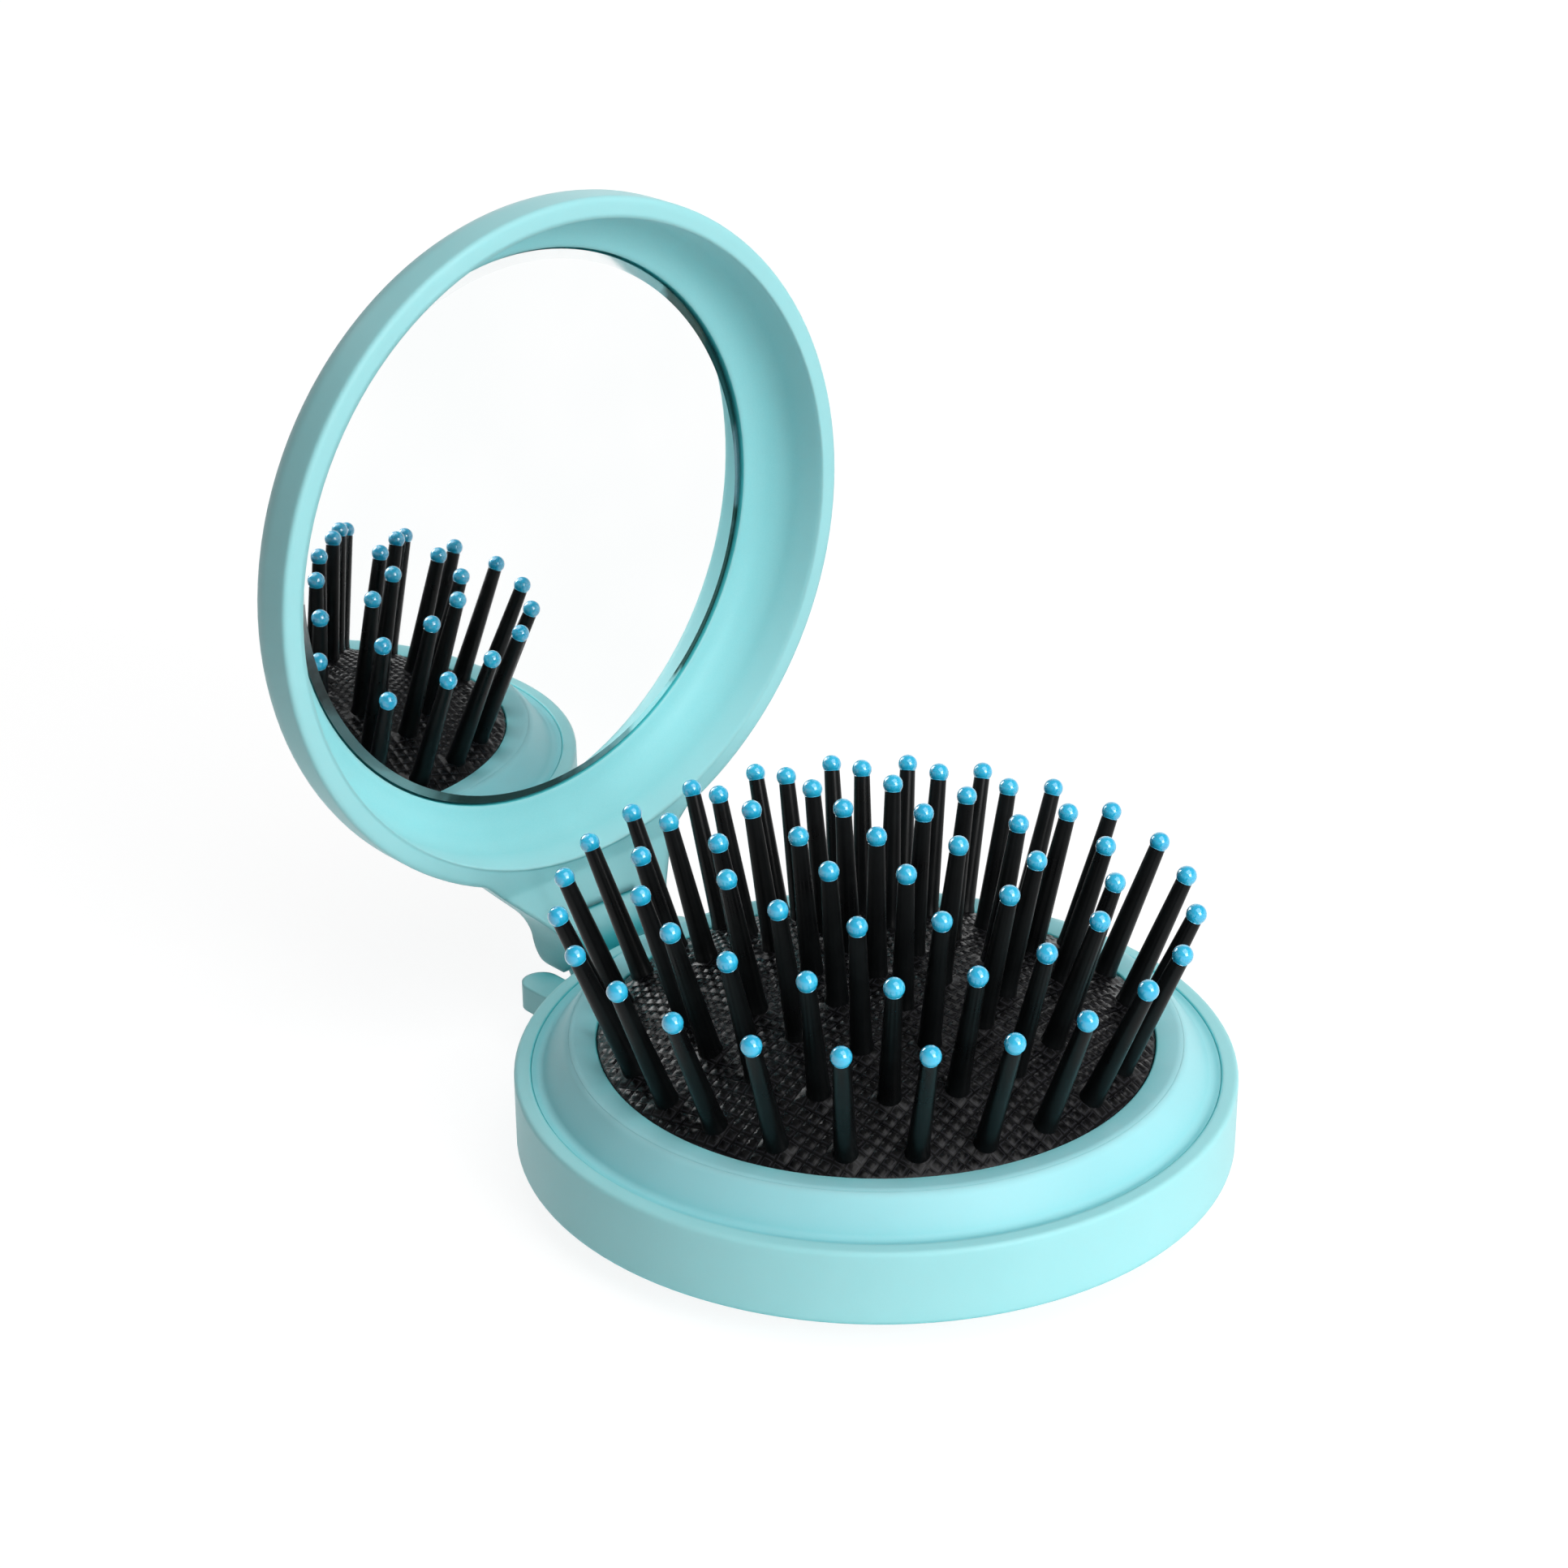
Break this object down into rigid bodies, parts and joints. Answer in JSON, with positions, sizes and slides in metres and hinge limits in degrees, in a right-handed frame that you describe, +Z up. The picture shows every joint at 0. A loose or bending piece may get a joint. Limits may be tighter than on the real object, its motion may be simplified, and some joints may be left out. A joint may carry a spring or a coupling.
{
  "type": "folding hairbrush with mirror",
  "caption": "Round folding pocket hairbrush: sprung-pad bristle head with ball tips that pops up from a flat case, under a hinged lid with a mirror inside.",
  "frame": {"origin": "centre of the round case on the plane it stands on, lid upright and bristles up", "axes": "+Z up through the centre bristle, +Y from the case centre to the hinge, X along the hinge pin"},
  "size_m": [0.0696, 0.0872, 0.0843],
  "materials": {
    "case_plastic": "satin moulded ABS, pale aqua",
    "lid_plastic": "satin moulded ABS, pale aqua",
    "button_plastic": "satin moulded ABS, pale aqua",
    "cushion_rubber": "black rubber with a fine embossed net",
    "bristle_nylon": "black nylon, semi-gloss",
    "ball_tip": "bright blue, glossy",
    "mirror": "silvered glass",
    "adhesive": "white foam tape",
    "pin_steel": "plain drawn steel"
  },
  "bodies": {
    "case": {"case_ring": "case_plastic", "case_floor": "case_plastic"},
    "head": {"head_ring": "case_plastic"},
    "carrier": {"cushion_bezel": "case_plastic", "cushion_tray": "case_plastic", "push_button": "button_plastic", "cushion": "cushion_rubber"},
    "bristle_centre": {"bristle_centre": "bristle_nylon", "ball_tip_centre": "ball_tip"},
    "bristle_ring_1": {"bristles_ring_1": "bristle_nylon", "ball_tips_ring_1": "ball_tip"},
    "bristle_ring_2": {"bristles_ring_2": "bristle_nylon", "ball_tips_ring_2": "ball_tip"},
    "bristle_ring_3": {"bristles_ring_3": "bristle_nylon", "ball_tips_ring_3": "ball_tip"},
    "bristle_ring_4": {"bristles_ring_4": "bristle_nylon", "ball_tips_ring_4": "ball_tip"},
    "lid": {"lid_shell": "lid_plastic", "mirror_glass": "mirror", "mirror_adhesive": "adhesive", "hinge_pin": "pin_steel"}
  },
  "joints": [
    {"name": "lid_fold", "type": "hinge", "parent": "case", "child": "lid", "pos_m": [0, 0.0403, 0.0092], "axis": [1, 0, 0], "range_deg": [0, 90]},
    {"name": "head_travel", "type": "slide", "parent": "case", "child": "head", "axis": [0, 0, -1], "range_m": [0, 0.0034]},
    {"name": "button_travel", "type": "slide", "parent": "head", "child": "carrier", "axis": [0, 0, -1], "range_m": [0, 0.0044]},
    {"name": "bristle_centre_sink", "type": "slide", "parent": "carrier", "child": "bristle_centre", "axis": [0, 0, -1], "range_m": [0, 0.0088], "deforming": ["cushion"]},
    {"name": "bristle_ring_1_sink", "type": "slide", "parent": "carrier", "child": "bristle_ring_1", "axis": [0, 0, -1], "range_m": [0, 0.0085]},
    {"name": "bristle_ring_2_sink", "type": "slide", "parent": "carrier", "child": "bristle_ring_2", "axis": [0, 0, -1], "range_m": [0, 0.0074]},
    {"name": "bristle_ring_3_sink", "type": "slide", "parent": "carrier", "child": "bristle_ring_3", "axis": [0, 0, -1], "range_m": [0, 0.00545]},
    {"name": "bristle_ring_4_sink", "type": "slide", "parent": "carrier", "child": "bristle_ring_4", "axis": [0, 0, -1], "range_m": [0, 0.003]}
  ],
  "couplings": [
    {"joint": "head_travel", "follows": "lid_fold", "m_per_rad": 0.002164},
    {"joint": "button_travel", "follows": "lid_fold", "m_per_rad": 0.002801},
    {"joint": "bristle_centre_sink", "follows": "lid_fold", "m_per_rad": 0.005602},
    {"joint": "bristle_ring_1_sink", "follows": "lid_fold", "m_per_rad": 0.005411},
    {"joint": "bristle_ring_2_sink", "follows": "lid_fold", "m_per_rad": 0.00471},
    {"joint": "bristle_ring_3_sink", "follows": "lid_fold", "m_per_rad": 0.003469},
    {"joint": "bristle_ring_4_sink", "follows": "lid_fold", "m_per_rad": 0.001909}
  ]
}
